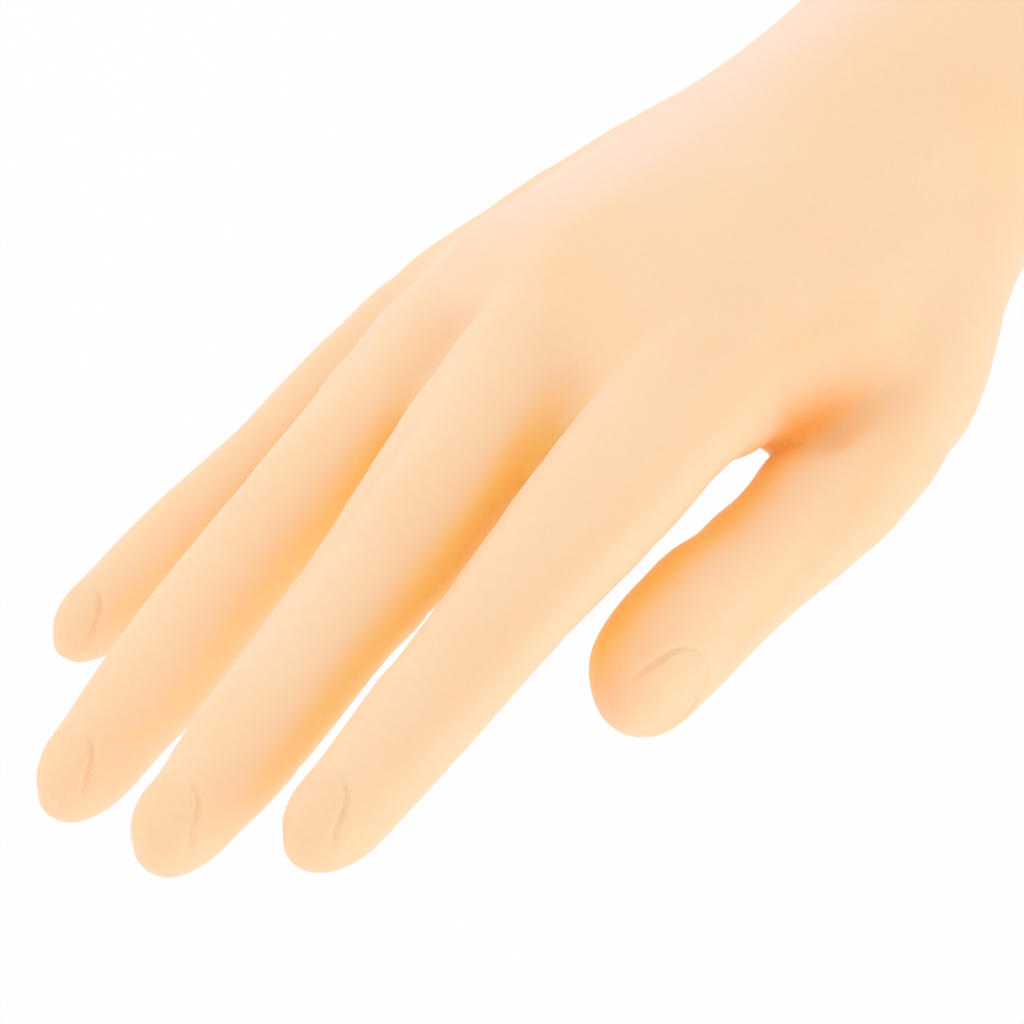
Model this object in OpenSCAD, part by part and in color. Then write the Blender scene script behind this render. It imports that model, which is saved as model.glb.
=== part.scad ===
// Hand jewelry stand: a life-size right hand on a short forearm, standing upright on the
// forearm's cut end. The hand is one hollow moulded shell. A snap-in cap closes it below,
// carries a weight on three screws, and rests on a soft pad.
// +Z is up, the thumb is towards -X and the palm faces +Y. The origin is the centre of the
// pad's underside. Places on the hand are measured from the wrist's centre.

/* [Shell] */
// Wall thickness of the moulded shell
shell_wall = 3; // [2:0.25:4]

/* [Forearm and wrist] */
// Height of the wrist's centre above the resting surface
wrist_h = 112; // [95:1:180]
// Diameter of the round lower end of the forearm
forearm_d = 66; // [60:1:90]
// Length of the straight stretch at the lower end of the forearm
forearm_straight = 22; // [20:1:40]
// Width of the wrist, from the thumb side to the little finger side
wrist_w = 52; // [44:1:60]
// Thickness of the wrist, from back to palm
wrist_t = 38; // [32:1:46]
// Height of the wrist's narrowest place above its centre
neck_rise = 20; // [5:1:25]

/* [Palm] */
// Width of the hand at its middle
palm_w = 65; // [58:1:80]
// Thickness of the hand at its middle
palm_t = 32; // [28:1:38]
// Thickness of the hand at the knuckles
knuckle_t = 26; // [22:1:30]
// Depth of the arch that the row of knuckles makes
knuckle_arch = 9; // [4:0.5:12]
// Depth of the hollow of the palm
palm_hollow = 4; // [0:0.5:6]
// How far the row of knuckles lies inside the outer knuckles' sides
row_inset = 2.5; // [0:0.5:5]
// Length of the webs past the knuckles
web_l = 22; // [16:0.5:26]
// Thickness of the webs' edge
web_t = 9; // [7:0.5:12]
// How far the webs lie towards the palm
web_sink = 2.5; // [0:0.5:5]
// Height of the ball of the palm below the little finger
heel_ball = 5; // [0:0.5:9]
// Height of the ball of the palm below the thumb
thumb_ball = 7; // [0:0.5:10]
// How far the pad below the thumb lies from the thumb's bone, towards the palm
thumb_pad = [8, 2, 0]; // [0:0.5:12]
// Thickness of the fold of skin between the thumb and the hand
thumb_web_t = 14; // [10:0.5:20]
// Diameter of the muscle that fills that fold
thumb_fill_d = 24; // [16:0.5:28]

/* [Index finger] */
// Knuckle, from the wrist's centre
index_knuckle = [-21, 2, 81]; // [-40:0.5:100]
// Lengths from joint to joint, and from the last joint to the tip
index_bones = [43, 26, 24]; // [15:0.5:60]
// Lean of each length towards the little finger
index_leans = [-3, -3, -2.5]; // [-20:0.5:20]
// Bend of each length towards the palm
index_bends = [12, 13, 14]; // [0:0.5:60]
// Widths at the knuckle, the two joints and the tip
index_widths = [20.2, 16.9, 15, 12]; // [8:0.1:26]

/* [Middle finger] */
// Knuckle, from the wrist's centre
middle_knuckle = [1, -2, 82]; // [-40:0.5:100]
// Lengths from joint to joint, and from the last joint to the tip
middle_bones = [47, 30, 23.5]; // [15:0.5:60]
// Lean of each length towards the little finger
middle_leans = [-5.5, -5, -4.5]; // [-20:0.5:20]
// Bend of each length towards the palm
middle_bends = [14, 16, 17]; // [0:0.5:60]
// Widths at the knuckle, the two joints and the tip
middle_widths = [20, 17.7, 15.5, 12]; // [8:0.1:26]

/* [Ring finger] */
// Knuckle, from the wrist's centre
ring_knuckle = [20, 0, 76]; // [-40:0.5:100]
// Lengths from joint to joint, and from the last joint to the tip
ring_bones = [44, 28, 25.5]; // [15:0.5:60]
// Lean of each length towards the little finger
ring_leans = [-1, -1, -1]; // [-20:0.5:20]
// Bend of each length towards the palm
ring_bends = [14, 17, 21]; // [0:0.5:60]
// Widths at the knuckle, the two joints and the tip
ring_widths = [19, 15.5, 14.5, 11.5]; // [8:0.1:26]

/* [Little finger] */
// Knuckle, from the wrist's centre
little_knuckle = [34, 6.5, 68]; // [-40:0.5:100]
// Lengths from joint to joint, and from the last joint to the tip
little_bones = [34, 20.5, 21]; // [15:0.5:60]
// Lean of each length towards the little finger's side
little_leans = [6, 6, 6]; // [-20:0.5:20]
// Bend of each length towards the palm
little_bends = [12, 13, 16]; // [0:0.5:60]
// Widths at the knuckle, the two joints and the tip
little_widths = [15, 13, 12.5, 10]; // [8:0.1:26]

/* [Thumb] */
// Lower end of the thumb's ball inside the wrist, from the wrist's centre
thumb_heel = [-13, 4, -14]; // [-40:0.5:40]
// Root of the thumb beside the wrist, from the wrist's centre
thumb_root = [-19, 6, 14]; // [-40:0.5:100]
// Knuckle, from the wrist's centre
thumb_knuckle = [-33, 18, 56]; // [-60:0.5:100]
// Lengths from the knuckle to the joint, and from the joint to the tip
thumb_bones = [32, 29]; // [15:0.5:60]
// Lean of each length towards the little finger
thumb_leans = [5.5, -1.5]; // [-20:0.5:20]
// Bend of each length towards the palm
thumb_bends = [11.5, 10.5]; // [0:0.5:60]
// Widths at the root, the knuckle, the joint and the tip
thumb_widths = [24, 18, 17, 15.5]; // [8:0.1:30]
// Turn of the thumb about its own length, away from the fingers
thumb_turn = -70; // [-90:1:0]

/* [Fingertips and nails] */
// Thickness of a digit over its width at the knuckle
digit_flatness = 0.94; // [0.8:0.01:1]
// Thickness of a digit over its width at the tip
tip_flatness = 0.84; // [0.7:0.01:1]
// Length over which a fingertip rounds off
tip_round = 9; // [6:0.5:14]
// Width of a nail over the width of its digit
nail_share = 0.6; // [0.5:0.02:0.85]
// Length of a nail over its width
nail_long = 1.3; // [0.9:0.05:1.5]
// Distance from a nail to the end of its digit
nail_back = 2.5; // [1:0.5:5]
// Height of a nail above the skin
nail_rise = 0.4; // [0.2:0.1:0.8]

/* [Base] */
// Thickness of the pad under the base
pad_t = 2; // [1:0.5:4]
// Inset of the pad from the edge of the cap
pad_inset = 3; // [1:0.5:6]
// Thickness of the cap's flange
flange_t = 4; // [3:0.5:6]
// Length of the cap's spigot inside the forearm
spigot_h = 18; // [14:1:20]
// Wall thickness of the spigot
spigot_wall = 2.5; // [2:0.25:4]
// Gap around the spigot
spigot_gap = 0.2; // [0.1:0.05:0.4]
// Height of the snap bead inside the shell
bead_r = 0.9; // [0.5:0.1:1.2]
// Height of the weight
weight_h = 16; // [8:1:18]
// Gap around the weight
weight_gap = 0.5; // [0.3:0.1:1]
// Number of screws
screw_count = 3; // [2:1:6]
// Diameter of the circle that the screws stand on
screw_pcd = 34; // [24:1:40]
// Diameter of the screws
screw_d = 4; // [3:0.5:5]
// Length of the screws
screw_l = 14; // [10:1:18]

/* [Hidden] */
SKIN = [0.99, 0.85, 0.70];
around = 96;

// Heights and diameters of the base, from the resting surface up
cap_z = pad_t;
shell_z = cap_z + flange_t;
bore_d = forearm_d - 2 * shell_wall;
spigot_d = bore_d - 2 * spigot_gap;
cup_d = spigot_d - 2 * spigot_wall;
bead_z = shell_z + spigot_h / 2;
weight_d = cup_d - 2 * weight_gap;
head_d = 2 * screw_d;
head_h = head_d / 2 - screw_d / 2;
head_sink = 0.3;
key_d = 0.6 * screw_d;
thread_gap = 0.05;
edge = 0.8;
cut = 1;

// Sides and rings of the moulded skins: outside, and in the hollow
arm_mesh = [43, 24];
digit_mesh = [19, 13];
tip_rings = 5;
arm_hollow_mesh = [23, 9];
digit_hollow_mesh = [10, 6];
tip_hollow_rings = 2;
ball_sides = 13;
nail_sides = 17;
bead_sides = 10;
screw_sides = 48;

// Numbers
function mix(a, b, t) = a + (b - a) * t;
function ease(t) = t * t * (3 - 2 * t);
function power(v, e) = sign(v) * pow(abs(v), e);
function unit(v) = v / norm(v);
function mean(list, i = 0) = list[i] / len(list) + (i == len(list) - 1 ? 0 * list[0] : mean(list, i + 1));

// A smooth curve through a list of points, from t = 0 at the first to t = len - 1 at the last
function curve(p, t) =
    let(
        last = len(p) - 1,
        i = min(max(floor(t), 0), last - 1),
        u = t - i,
        a = i > 0 ? p[i - 1] : 2 * p[0] - p[1],
        d = i + 2 <= last ? p[i + 2] : 2 * p[last] - p[last - 1]
    )
    (2 * p[i] + (p[i + 1] - a) * u + (2 * a - 5 * p[i] + 4 * p[i + 1] - d) * u * u
        + (3 * p[i] - a - 3 * p[i + 1] + d) * u * u * u) / 2;

// The direction of a length that leans to one side and bends towards the palm
function aim(lean, bend) = [sin(lean) * cos(bend), sin(bend), cos(lean) * cos(bend)];
function reach(from, bones, leans, bends, i = 0) =
    i == len(bones) ? [] :
    let(next = from + bones[i] * aim(leans[i], bends[i]))
    concat([next], reach(next, bones, leans, bends, i + 1));

// A limb is the points along its middle, its width at each of them, and its turn.
// A finger's bone starts inside the palm, a share of the way from the wrist to the knuckle.
root_share = 0.45;
root_width = 0.6;
function finger(knuckle, bones, leans, bends, widths) = [
    concat([root_share * knuckle, knuckle], reach(knuckle, bones, leans, bends)),
    concat([root_width * widths[0]], widths),
    0
];
INDEX = finger(index_knuckle, index_bones, index_leans, index_bends, index_widths);
MIDDLE = finger(middle_knuckle, middle_bones, middle_leans, middle_bends, middle_widths);
RING = finger(ring_knuckle, ring_bones, ring_leans, ring_bends, ring_widths);
LITTLE = finger(little_knuckle, little_bones, little_leans, little_bends, little_widths);
THUMB = [
    concat([thumb_heel, thumb_root, thumb_knuckle],
        reach(thumb_knuckle, thumb_bones, thumb_leans, thumb_bends)),
    concat([root_width * thumb_widths[0]], thumb_widths),
    thumb_turn
];
FINGERS = [INDEX, MIDDLE, RING, LITTLE];
DIGITS = concat(FINGERS, [THUMB]);

// A limb's axes at t: across it, from its back to its palm side, and along it
step = 0.02;
function axes(limb, t) =
    let(
        along = unit(curve(limb[0], t + step) - curve(limb[0], t - step)),
        x = unit([1, 0, 0] - along.x * along),
        y = cross(along, x),
        turn = limb[2]
    )
    [cos(turn) * x + sin(turn) * y, cos(turn) * y - sin(turn) * x, along];
function last_t(limb) = len(limb[0]) - 1;
function last_bone(limb) = norm(limb[0][last_t(limb)] - limb[0][last_t(limb) - 1]);

// Where a limb's rings lie, as [t, share of the full width], with its far end rounded off
round_end = 80;
function stops(limb, inset, rings, round_rings) =
    let(
        end = last_t(limb) - inset / last_bone(limb),
        round_t = tip_round / last_bone(limb)
    )
    concat(
        [for (i = [0 : rings - 1]) [(end - round_t) * i / rings, 1]],
        [for (i = [0 : round_rings])
            let(a = round_end * i / round_rings)
            [end - round_t * (1 - sin(a)), cos(a)]]
    );

function limb_ring(limb, t, share, inset, sides) =
    let(
        at = curve(limb[0], t),
        f = axes(limb, t),
        width = curve(limb[1], t),
        flatness = mix(digit_flatness, tip_flatness, t / last_t(limb)),
        across = (width / 2 - inset) * share,
        through = (flatness * width / 2 - inset) * share
    )
    [for (j = [0 : sides - 1])
        let(a = 360 * j / sides)
        at + across * cos(a) * f[0] + through * sin(a) * f[1]];

function limb_rings(limb, inset, mesh, round_rings) =
    [for (s = stops(limb, inset, mesh[1], round_rings)) limb_ring(limb, s[0], s[1], inset, mesh[0])];

// The row of knuckles across the hand
index_side = index_knuckle.x - index_widths[0] / 2 + row_inset;
little_side = little_knuckle.x + little_widths[0] / 2 - row_inset;
row = [(index_side + little_side) / 2, middle_knuckle.y, (index_knuckle.z + little_knuckle.z) / 2];
row_slant = (little_knuckle.z - index_knuckle.z) / (little_knuckle.x - index_knuckle.x);
row_w = little_side - index_side;
web_arch = 0.8;

// The palm's sections, as [share of the way from the neck to the knuckles, width, thickness,
// depth of the hollow, share of the balls]
PALM = [
    [0, wrist_w, wrist_t, 0, 0.7],
    [0.35, mix(wrist_w, palm_w, 0.45), (wrist_t + palm_t) / 2, 0.6 * palm_hollow, 1],
    [0.68, palm_w, palm_t, palm_hollow, 0.6],
    [1, row_w, knuckle_t, 0.6 * palm_hollow, 0]
];

// The arm's sections, as [height, centre across, centre through, half width, half thickness,
// slant, arch, hollow, share of the balls], from the straight end of the forearm to the webs
low_z = shell_z - wrist_h;
taper_steps = 5;
shift_power = 1.3;
ARM = concat(
    [for (i = [0 : taper_steps - 1])
        let(s = i / taper_steps, e = ease(s))
        [mix(low_z + forearm_straight, neck_rise, s), 0, 0,
            mix(forearm_d, wrist_w, e) / 2, mix(forearm_d, wrist_t, e) / 2, 0, 0, 0, 0]],
    [for (p = PALM)
        let(s = p[0], q = s * s)
        [mix(neck_rise, row.z, s), pow(s, shift_power) * row.x, q * row.y, p[1] / 2, p[2] / 2,
            q * row_slant, q * knuckle_arch, p[3], p[4]]],
    [[row.z + web_l / 2, row.x, row.y + web_sink, (row_w - web_t) / 2, (knuckle_t + web_t) / 4,
        row_slant, web_arch * knuckle_arch, 0, 0]]
);
row_stop = len(ARM) - 2;

// A ring around the arm: a squared oval, arched at the back, with the balls of the palm
squareness = 0.94;
ball_place = 0.6;
ball_reach = 0.4;
function hump(c, middle) = exp(-pow((c - middle) / ball_reach, 2));
function arm_ring(s, inset, sides) =
    [for (j = [0 : sides - 1])
        let(
            c = power(cos(360 * j / sides), squareness),
            k = power(sin(360 * j / sides), squareness),
            balls = s[8] * (heel_ball * hump(c, ball_place) + thumb_ball * hump(c, -ball_place)),
            palm_side = k > 0 ? k * balls - s[7] * pow(1 - c * c, 2) : 0,
            x = (s[3] - inset) * c,
            y = (s[4] - inset) * k + s[6] * c * c + palm_side
        )
        [s[1] + x, s[2] + y, s[0] + s[5] * x]];

function arm_rings(inset, stop, mesh) =
    concat(
        [arm_ring([low_z - inset, 0, 0, forearm_d / 2, forearm_d / 2, 0, 0, 0, 0], inset, mesh[0])],
        [for (i = [0 : mesh[1]]) arm_ring(curve(ARM, stop * i / mesh[1]), inset, mesh[0])]
    );

// A closed solid through a list of rings
module skin(rings) {
    sides = len(rings[0]);
    count = len(rings);
    points = concat([for (r = rings) each r], [mean(rings[0]), mean(rings[count - 1])]);
    walls = [for (i = [0 : count - 2], j = [0 : sides - 1])
        let(a = i * sides + j, b = i * sides + (j + 1) % sides)
        each [[a, a + sides, b + sides], [a, b + sides, b]]];
    ends = [for (j = [0 : sides - 1])
        let(k = (j + 1) % sides, top = (count - 1) * sides)
        each [[count * sides, j, k], [count * sides + 1, top + k, top + j]]];
    polyhedron(points, concat(walls, ends));
}

// The web between two neighbouring fingers, whose edge lies nearer the palm
web_root = 0.75;
module web(pair) {
    hull() for (limb = pair) {
        knuckle = limb[0][1] + [0, web_sink, 0];
        along = unit(limb[0][2] - limb[0][1]);
        translate(knuckle) sphere(d = web_root * limb[1][1], $fn = ball_sides);
        translate(knuckle + (web_l - web_t / 2) * along) sphere(d = web_t, $fn = ball_sides);
    }
}

// The fold of skin between the thumb and the hand, over balls along both of its bones
fold_inset = 3;
thumb_shares = [0, 0.45, 1.1];
index_shares = [0.2, 0.5, 0.85];
fill_shares = [0.25, 0.55];
pad_shares = [0.3, 0.65];
module thumb_web() {
    hull() {
        for (s = thumb_shares) translate(curve(THUMB[0], 1 + s))
            sphere(d = mix(thumb_widths[0], thumb_web_t, s) - fold_inset, $fn = ball_sides);
        for (s = index_shares) translate(s * index_knuckle)
            sphere(d = mix(wrist_t, thumb_web_t, s) - fold_inset, $fn = ball_sides);
        for (s = pad_shares) translate(mix(thumb_root, thumb_knuckle, s) + thumb_pad)
            sphere(d = mix(thumb_widths[0], thumb_web_t, s), $fn = ball_sides);
        for (s = fill_shares) translate(mix(thumb_root, index_knuckle, s))
            sphere(d = thumb_fill_d, $fn = ball_sides);
    }
}

// The nail on the back of a digit's tip, cut from a skin that lies just above the digit's own
nail_taper = 0.85;
module nail(limb) {
    nail_w = nail_share * curve(limb[1], last_t(limb) - 1 / 2);
    nail_l = nail_long * nail_w;
    root_r = nail_w / 2;
    free_r = nail_taper * root_r;
    t = last_t(limb) - (nail_l / 2 + nail_back) / last_bone(limb);
    f = axes(limb, t);
    at = curve(limb[0], t);
    intersection() {
        skin(limb_rings(limb, -nail_rise, digit_mesh, tip_rings));
        multmatrix([for (i = [0 : 2]) [f[0][i], f[2][i], -f[1][i], at[i]]])
            hull() {
                translate([0, root_r - nail_l / 2, 0]) cylinder(r = root_r, h = nail_w, $fn = nail_sides);
                translate([0, nail_l / 2 - free_r, 0]) cylinder(r = free_r, h = nail_w, $fn = nail_sides);
            }
    }
}

// A round bead around the bore, which snaps into the cap's groove
module snap_ring(r, sides) {
    translate([0, 0, bead_z]) rotate_extrude($fn = around) translate([bore_d / 2, 0]) circle(r, $fn = sides);
}

module hand_shell() {
    color(SKIN) {
        difference() {
            translate([0, 0, wrist_h]) {
                skin(arm_rings(0, len(ARM) - 1, arm_mesh));
                for (limb = DIGITS) skin(limb_rings(limb, 0, digit_mesh, tip_rings));
                for (i = [0 : len(FINGERS) - 2]) web([FINGERS[i], FINGERS[i + 1]]);
                thumb_web();
                for (limb = DIGITS) nail(limb);
            }
            translate([0, 0, wrist_h]) {
                skin(arm_rings(shell_wall, row_stop, arm_hollow_mesh));
                for (limb = DIGITS)
                    skin(limb_rings(limb, shell_wall, digit_hollow_mesh, tip_hollow_rings));
            }
            translate([0, 0, shell_z - cut]) cylinder(d = bore_d, h = spigot_h + 2 * cut, $fn = around);
        }
        snap_ring(bead_r, bead_sides);
    }
}

module base_cap() {
    top = shell_z + spigot_h;
    color(SKIN) difference() {
        rotate_extrude($fn = around) polygon([
            [0, cap_z],
            [forearm_d / 2 - edge, cap_z],
            [forearm_d / 2, cap_z + edge],
            [forearm_d / 2, shell_z],
            [spigot_d / 2, shell_z],
            [spigot_d / 2, top - edge],
            [spigot_d / 2 - edge, top],
            [cup_d / 2, top],
            [cup_d / 2, shell_z],
            [0, shell_z]
        ]);
        snap_ring(bead_r + spigot_gap, around);
        at_screws() screw_shape(thread_gap, -cut);
    }
}

module at_screws() {
    for (i = [0 : screw_count - 1]) rotate(360 * i / screw_count)
        translate([screw_pcd / 2, 0, cap_z]) children();
}

// A countersunk screw, head down, grown by a gap to make its hole
module screw_shape(gap, sink) {
    rotate_extrude($fn = screw_sides) polygon([
        [0, sink],
        [head_d / 2 + gap, sink],
        [head_d / 2 + gap, head_sink + gap],
        [screw_d / 2 + gap, head_sink + head_h + gap],
        [screw_d / 2 + gap, screw_l + gap],
        [0, screw_l + gap]
    ]);
}

module weight() {
    color("dimgray") difference() {
        rotate_extrude($fn = around) polygon([
            [0, shell_z],
            [weight_d / 2 - edge, shell_z],
            [weight_d / 2, shell_z + edge],
            [weight_d / 2, shell_z + weight_h - edge],
            [weight_d / 2 - edge, shell_z + weight_h],
            [0, shell_z + weight_h]
        ]);
        at_screws() screw_shape(thread_gap, -cut);
    }
}

module weight_screws() {
    color("silver") at_screws() difference() {
        screw_shape(0, head_sink / 2);
        cylinder(d = key_d, h = head_h, $fn = 6);
    }
}

module base_pad() {
    color("dimgray") cylinder(d = forearm_d - 2 * pad_inset, h = pad_t, $fn = around);
}

hand_shell();
base_cap();
weight();
weight_screws();
base_pad();
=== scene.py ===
import math
from typing import NamedTuple

import bmesh
import bpy
import numpy as np
from bpy.props import FloatProperty, FloatVectorProperty, IntProperty, PointerProperty
from mathutils import Matrix, Vector
from mathutils.bvhtree import BVHTree


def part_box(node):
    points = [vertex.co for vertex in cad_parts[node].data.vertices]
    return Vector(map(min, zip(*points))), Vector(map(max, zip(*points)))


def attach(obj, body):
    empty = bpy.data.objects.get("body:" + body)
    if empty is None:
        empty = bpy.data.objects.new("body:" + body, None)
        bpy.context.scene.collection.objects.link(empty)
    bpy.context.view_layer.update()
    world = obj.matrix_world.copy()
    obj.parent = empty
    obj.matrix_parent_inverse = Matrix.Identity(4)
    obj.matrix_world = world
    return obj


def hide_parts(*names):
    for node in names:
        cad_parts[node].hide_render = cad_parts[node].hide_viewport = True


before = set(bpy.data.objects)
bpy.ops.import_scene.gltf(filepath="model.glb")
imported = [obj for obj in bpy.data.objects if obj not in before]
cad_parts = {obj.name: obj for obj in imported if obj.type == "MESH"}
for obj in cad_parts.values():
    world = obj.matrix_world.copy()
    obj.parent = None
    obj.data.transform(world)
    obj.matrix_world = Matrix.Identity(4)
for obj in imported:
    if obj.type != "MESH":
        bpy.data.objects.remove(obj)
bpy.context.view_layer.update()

bl_info = {
    "name": "Hand Jewelry Stand",
    "version": (1, 0, 0),
    "blender": (4, 5, 0),
    "location": "View3D > Sidebar > Hand Stand",
    "description": "Models the skin of a hollow display hand, finishes its foot and sets a plain stage",
    "category": "Object",
}

MM = 0.001

# The hand stands with its wrist's centre here, its thumb towards -X and its palm towards +Y.
WRIST = Vector((0, 0, 112 * MM))


class Digit(NamedTuple):
    """A digit's knuckle, from the wrist's centre, its bones and its widths from there to the tip, and its
    turn about its own length, in millimetres and degrees."""

    knuckle: tuple
    bones: tuple
    leans: tuple
    bends: tuple
    widths: tuple
    turn: float = 0.0


INDEX = Digit((-21, 2, 81), (43, 26, 24), (-3, -3, -2.5), (12, 13, 14), (20.2, 16.9, 15, 12))
MIDDLE = Digit((1, -2, 82), (47, 30, 23.5), (-5.5, -5, -4.5), (14, 16, 17), (20, 17.7, 15.5, 12))
RING = Digit((20, 0, 76), (44, 28, 25.5), (-1, -1, -1), (14, 17, 21), (19, 15.5, 14.5, 11.5))
LITTLE = Digit((34, 6.5, 68), (34, 20.5, 21), (6, 6, 6), (12, 13, 16), (15, 13, 12.5, 10))
THUMB = Digit((-33, 18, 56), (32, 29), (5.5, -1.5), (11.5, 10.5), (18, 17, 15.5), -86.0)
FINGERS = (INDEX, MIDDLE, RING, LITTLE)
DIGITS = FINGERS + (THUMB,)


def aim(lean, bend):
    """The direction of a bone that leans towards the little finger and bends towards the palm."""
    lean, bend = math.radians(lean), math.radians(bend)
    return Vector((math.sin(lean) * math.cos(bend), math.sin(bend), math.cos(lean) * math.cos(bend)))


def joints_of(digit):
    """The places of a digit's knuckle, joints and tip."""
    places = [WRIST + MM * Vector(digit.knuckle)]
    for bone, lean, bend in zip(digit.bones, digit.leans, digit.bends):
        places.append(places[-1] + MM * bone * aim(lean, bend))
    return places


def axes_of(digit, bone):
    """The directions across a bone, along it, and out of its back."""
    along = aim(digit.leans[bone], digit.bends[bone])
    across = (Vector((1, 0, 0)) - along.x * along).normalized()
    turn = Matrix.Rotation(math.radians(digit.turn), 3, along)
    across = turn @ across
    return across, along, across.cross(along)


# Properties

class SkinSettings(bpy.types.PropertyGroup):
    """How the skin is evened out and shaped, and its tones."""

    voxel: FloatProperty(
        name="Grain of the mesh", description="Edge length of the even skin mesh",
        default=1.2 * MM, min=0.8 * MM, max=3 * MM, unit="LENGTH", precision=5)
    fold_passes: IntProperty(
        name="Fold filling", description="How far the folds between digits are filled, in passes",
        default=10, min=0, max=200)
    smooth_passes: IntProperty(
        name="Smoothing", description="How far the moulded skin is evened out, in passes",
        default=80, min=0, max=300)
    nail_rise: FloatProperty(
        name="Nail rise", description="Height of the nails above their folds",
        default=0.08 * MM, min=0, max=0.8 * MM, unit="LENGTH", precision=5)
    nail_groove: FloatProperty(
        name="Nail groove", description="Depth of the groove around a nail",
        default=0.34 * MM, min=0, max=0.8 * MM, unit="LENGTH", precision=5)
    nail_flat: FloatProperty(
        name="Nail flatness", description="How far a nail's sides stand above the round of its digit",
        default=0.28 * MM, min=0, max=0.8 * MM, unit="LENGTH", precision=5)
    crease_depth: FloatProperty(
        name="Crease depth", description="Depth of the lines on the palm side",
        default=0.75 * MM, min=0, max=1.2 * MM, unit="LENGTH", precision=5)
    skin_warm: FloatVectorProperty(
        name="Warm skin", description="Yellower tone of the moulded skin",
        default=(1.0, 0.66, 0.395), min=0, max=1, subtype="COLOR")
    skin_pink: FloatVectorProperty(
        name="Pink skin", description="Pinker tone of the moulded skin",
        default=(1.0, 0.68, 0.43), min=0, max=1, subtype="COLOR")
    nail_tone: FloatVectorProperty(
        name="Nails", description="Tone of the moulded nails",
        default=(0.96, 0.64, 0.38), min=0, max=1, subtype="COLOR")
    # Painted highlight: a paler tone where light rims the hand's outer edge.
    rim_highlight_tone: FloatVectorProperty(
        name="Pale edge", description="Tone of the skin along the hand's outer edge",
        default=(1.0, 0.705, 0.54), min=0, max=1, subtype="COLOR")
    # Painted shade: a deep orange that stands in for the shade and bounced light between the digits.
    fold_shade_tone: FloatVectorProperty(
        name="Folds", description="Deep tone of the skin where digits close in on it",
        default=(1.0, 0.65, 0.12), min=0, max=1, subtype="COLOR")
    # Painted light and shade: the orange of bounced light in the thumb's web, also used for painted shade
    # lines along the index finger and the thumb.
    glow_and_shade_tone: FloatVectorProperty(
        name="Glow", description="Deep tone of the skin in the thumb's web",
        default=(0.98, 0.34, 0.015), min=0, max=1, subtype="COLOR")


class FootSettings(bpy.types.PropertyGroup):
    """The colours of the pieces in the foot."""

    cap: FloatVectorProperty(
        name="Cap", description="Colour of the moulded cap",
        default=(0.86, 0.57, 0.34), min=0, max=1, subtype="COLOR")
    pad: FloatVectorProperty(
        name="Pad", description="Colour of the foam pad",
        default=(0.028, 0.028, 0.03), min=0, max=1, subtype="COLOR")
    iron: FloatVectorProperty(
        name="Weight", description="Colour of the cast weight",
        default=(0.045, 0.045, 0.048), min=0, max=1, subtype="COLOR")
    steel: FloatVectorProperty(
        name="Screws", description="Colour of the plated screws",
        default=(0.56, 0.57, 0.58), min=0, max=1, subtype="COLOR")


class StageSettings(bpy.types.PropertyGroup):
    """The camera, the light and the floor."""

    azimuth: FloatProperty(
        name="Azimuth", description="Camera's turn about the stand",
        default=math.radians(-53.8), subtype="ANGLE")
    elevation: FloatProperty(
        name="Elevation", description="Camera's height above the horizon",
        default=math.radians(42.5), subtype="ANGLE")
    roll: FloatProperty(
        name="Roll", description="Camera's turn about its own line of sight",
        default=math.radians(-124.8), subtype="ANGLE")
    distance: FloatProperty(
        name="Distance", description="Distance from the camera to its target",
        default=700 * MM, unit="LENGTH")
    target: FloatVectorProperty(
        name="Target", description="Where the camera looks, from the wrist's centre",
        default=(16.2 * MM, 28.3 * MM, 76.2 * MM), subtype="TRANSLATION", precision=4)
    lens: FloatProperty(
        name="Lens", description="Focal length in millimetres", default=177.6, min=20, max=300)
    sky: FloatProperty(
        name="Sky", description="Strength of the even light all round", default=0.99, min=0, max=2)
    key: FloatProperty(
        name="Key", description="Power of the soft lamp on the little finger's side",
        default=0.7, min=0, max=20, unit="POWER")
    rim: FloatProperty(
        name="Rim", description="Power of the soft lamp on the thumb's side",
        default=1.9, min=0, max=20, unit="POWER")
    floor: FloatVectorProperty(
        name="Floor", description="Colour of the floor",
        default=(0.95, 0.95, 0.95), min=0, max=1, subtype="COLOR")


# Shaders

class Value:
    """A shader socket. Arithmetic on it adds Math nodes."""

    def __init__(self, shader, socket):
        self.shader = shader
        self.socket = socket

    def math(self, operation, first, second):
        return self.shader.node("ShaderNodeMath", {"operation": operation}, {0: first, 1: second})

    def __add__(self, other):
        return self.math("ADD", self, other)

    def __sub__(self, other):
        return self.math("SUBTRACT", self, other)

    def __mul__(self, other):
        return self.math("MULTIPLY", self, other)

    __radd__ = __add__


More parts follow.
